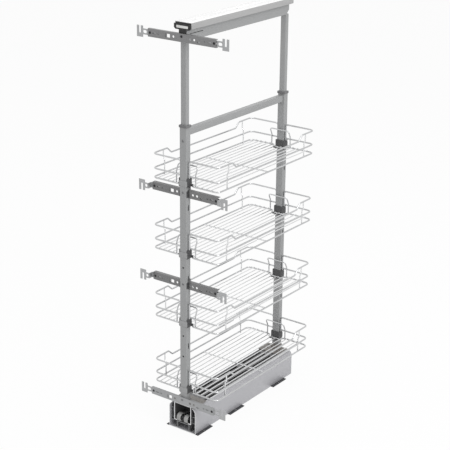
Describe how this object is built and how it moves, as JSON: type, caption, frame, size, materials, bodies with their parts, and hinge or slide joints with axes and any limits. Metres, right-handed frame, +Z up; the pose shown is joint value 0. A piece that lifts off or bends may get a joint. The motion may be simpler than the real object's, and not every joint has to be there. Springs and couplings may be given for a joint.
{
  "type": "pull out pantry frame",
  "caption": "Tall pull-out pantry frame: chrome wire baskets clipped between telescopic posts on a ball-slide base, with a guide rail at the top and slotted brackets for a cabinet door.",
  "frame": {"origin": "centre of the underside of the base housing, on the cabinet floor", "axes": "+Z up, -Y towards the door (the way the frame pulls out), +X to the right seen from the door"},
  "size_m": [0.327, 0.534, 1.28],
  "materials": {
    "grey_steel": "satin silver grey powder coat",
    "housing_steel": "satin silver grey powder coat",
    "foot_steel": "satin grey coat",
    "zinc_steel": "zinc plated sheet steel",
    "arm_steel": "zinc plated strip steel",
    "dark_steel": "dark grey coat",
    "grey_plastic": "moulded grey plastic",
    "black_plastic": "moulded black plastic",
    "dark_plastic": "moulded dark grey plastic",
    "chrome_wire": "bright chrome plated wire",
    "roller_plastic": "moulded white plastic",
    "screw_steel": "zinc plated steel",
    "ball_steel": "steel balls in a sheet cage",
    "rubber": "black rubber"
  },
  "bodies": {
    "base": {"base_housing": "housing_steel", "floor_tabs": "dark_steel", "roller_runway": "zinc_steel", "rear_stop": "housing_steel", "stop_pad": "rubber", "outer_track_left": "zinc_steel", "outer_track_right": "zinc_steel"},
    "carriage": {"carriage_channel": "zinc_steel", "inner_slide_left": "zinc_steel", "inner_slide_right": "zinc_steel", "front_post_foot": "foot_steel", "rear_post_foot": "foot_steel", "lower_post_front": "grey_steel", "lower_post_rear": "grey_steel", "crossbar": "grey_steel", "post_collars": "grey_plastic", "bracket_second": "zinc_steel", "bracket_third": "zinc_steel", "bracket_bottom": "zinc_steel", "arm_screws": "screw_steel", "bracket_screws": "screw_steel", "lock_screws": "screw_steel", "roller_axles": "screw_steel", "basket_clips_1": "dark_plastic", "basket_clips_2": "dark_plastic", "basket_clips_3": "dark_plastic", "basket_clips_4": "dark_plastic", "clip_straps": "zinc_steel", "bracket_holders": "dark_plastic"},
    "middle_slides": {"middle_slide_left": "zinc_steel", "middle_slide_right": "zinc_steel"},
    "outer_cages": {"outer_ball_cages": "ball_steel"},
    "inner_cages": {"inner_ball_cages": "ball_steel"},
    "front_roller_pair": {"front_rollers": "roller_plastic"},
    "rear_roller_pair": {"rear_rollers": "roller_plastic"},
    "upper_frame": {"upper_post_front": "grey_steel", "upper_post_rear": "grey_steel", "top_rail": "grey_steel", "top_guide_front": "black_plastic", "top_guide_rear": "black_plastic", "bracket_top": "zinc_steel", "upper_screws": "screw_steel"},
    "cabinet_track": {"top_track": "grey_steel"},
    "basket_1": {"basket_1_rails": "chrome_wire", "basket_1_grid": "chrome_wire"},
    "basket_2": {"basket_2_rails": "chrome_wire", "basket_2_grid": "chrome_wire"},
    "basket_3": {"basket_3_rails": "chrome_wire", "basket_3_grid": "chrome_wire"},
    "basket_4": {"basket_4_rails": "chrome_wire", "basket_4_grid": "chrome_wire"},
    "door_top_left": {"arm_top_left": "arm_steel"},
    "door_top_right": {"arm_top_right": "arm_steel"},
    "door_second_left": {"arm_second_left": "arm_steel"},
    "door_second_right": {"arm_second_right": "arm_steel"},
    "door_third_left": {"arm_third_left": "arm_steel"},
    "door_third_right": {"arm_third_right": "arm_steel"},
    "door_bottom_left": {"arm_bottom_left": "arm_steel"},
    "door_bottom_right": {"arm_bottom_right": "arm_steel"}
  },
  "joints": [
    {"name": "pull_out", "type": "slide", "parent": "base", "child": "carriage", "axis": [0, -1, 0], "range_m": [0, 0.48]},
    {"name": "middle_travel", "type": "slide", "parent": "base", "child": "middle_slides", "axis": [0, -1, 0], "range_m": [0, 0.24]},
    {"name": "outer_cage_travel", "type": "slide", "parent": "base", "child": "outer_cages", "axis": [0, -1, 0], "range_m": [0, 0.12]},
    {"name": "inner_cage_travel", "type": "slide", "parent": "base", "child": "inner_cages", "axis": [0, -1, 0], "range_m": [0, 0.36]},
    {"name": "front_roller_turn", "type": "hinge", "parent": "carriage", "child": "front_roller_pair", "pos_m": [0, -0.254, 0.038], "axis": [1, 0, 0], "continuous": true},
    {"name": "rear_roller_turn", "type": "hinge", "parent": "carriage", "child": "rear_roller_pair", "pos_m": [0, 0.133, 0.038], "axis": [1, 0, 0], "continuous": true},
    {"name": "height_adjust", "type": "slide", "parent": "carriage", "child": "upper_frame", "axis": [0, 0, 1], "range_m": [-0.06, 0.06]},
    {"name": "track_hold", "type": "slide", "parent": "upper_frame", "child": "cabinet_track", "axis": [0, 1, 0], "range_m": [0, 0.48]},
    {"name": "basket_1_lift", "type": "slide", "parent": "carriage", "child": "basket_1", "axis": [0, 0, 1], "range_m": [0, 0.035]},
    {"name": "basket_2_lift", "type": "slide", "parent": "carriage", "child": "basket_2", "axis": [0, 0, 1], "range_m": [0, 0.035]},
    {"name": "basket_3_lift", "type": "slide", "parent": "carriage", "child": "basket_3", "axis": [0, 0, 1], "range_m": [0, 0.035]},
    {"name": "basket_4_lift", "type": "slide", "parent": "carriage", "child": "basket_4", "axis": [0, 0, 1], "range_m": [0, 0.035]},
    {"name": "door_top_left_adjust", "type": "slide", "parent": "upper_frame", "child": "door_top_left", "axis": [-1, 0, 0], "range_m": [-0.006, 0.006]},
    {"name": "door_top_right_adjust", "type": "slide", "parent": "upper_frame", "child": "door_top_right", "axis": [1, 0, 0], "range_m": [-0.006, 0.006]},
    {"name": "door_second_left_adjust", "type": "slide", "parent": "carriage", "child": "door_second_left", "axis": [-1, 0, 0], "range_m": [-0.006, 0.006]},
    {"name": "door_second_right_adjust", "type": "slide", "parent": "carriage", "child": "door_second_right", "axis": [1, 0, 0], "range_m": [-0.006, 0.006]},
    {"name": "door_third_left_adjust", "type": "slide", "parent": "carriage", "child": "door_third_left", "axis": [-1, 0, 0], "range_m": [-0.006, 0.006]},
    {"name": "door_third_right_adjust", "type": "slide", "parent": "carriage", "child": "door_third_right", "axis": [1, 0, 0], "range_m": [-0.006, 0.006]},
    {"name": "door_bottom_left_adjust", "type": "slide", "parent": "carriage", "child": "door_bottom_left", "axis": [-1, 0, 0], "range_m": [-0.006, 0.006]},
    {"name": "door_bottom_right_adjust", "type": "slide", "parent": "carriage", "child": "door_bottom_right", "axis": [1, 0, 0], "range_m": [-0.006, 0.006]}
  ],
  "couplings": [
    {"joint": "middle_travel", "follows": "pull_out", "ratio": 0.5},
    {"joint": "outer_cage_travel", "follows": "pull_out", "ratio": 0.25},
    {"joint": "inner_cage_travel", "follows": "pull_out", "ratio": 0.75},
    {"joint": "front_roller_turn", "follows": "pull_out", "rad_per_m": 71.429},
    {"joint": "rear_roller_turn", "follows": "pull_out", "rad_per_m": 71.429},
    {"joint": "track_hold", "follows": "pull_out", "ratio": 1}
  ]
}
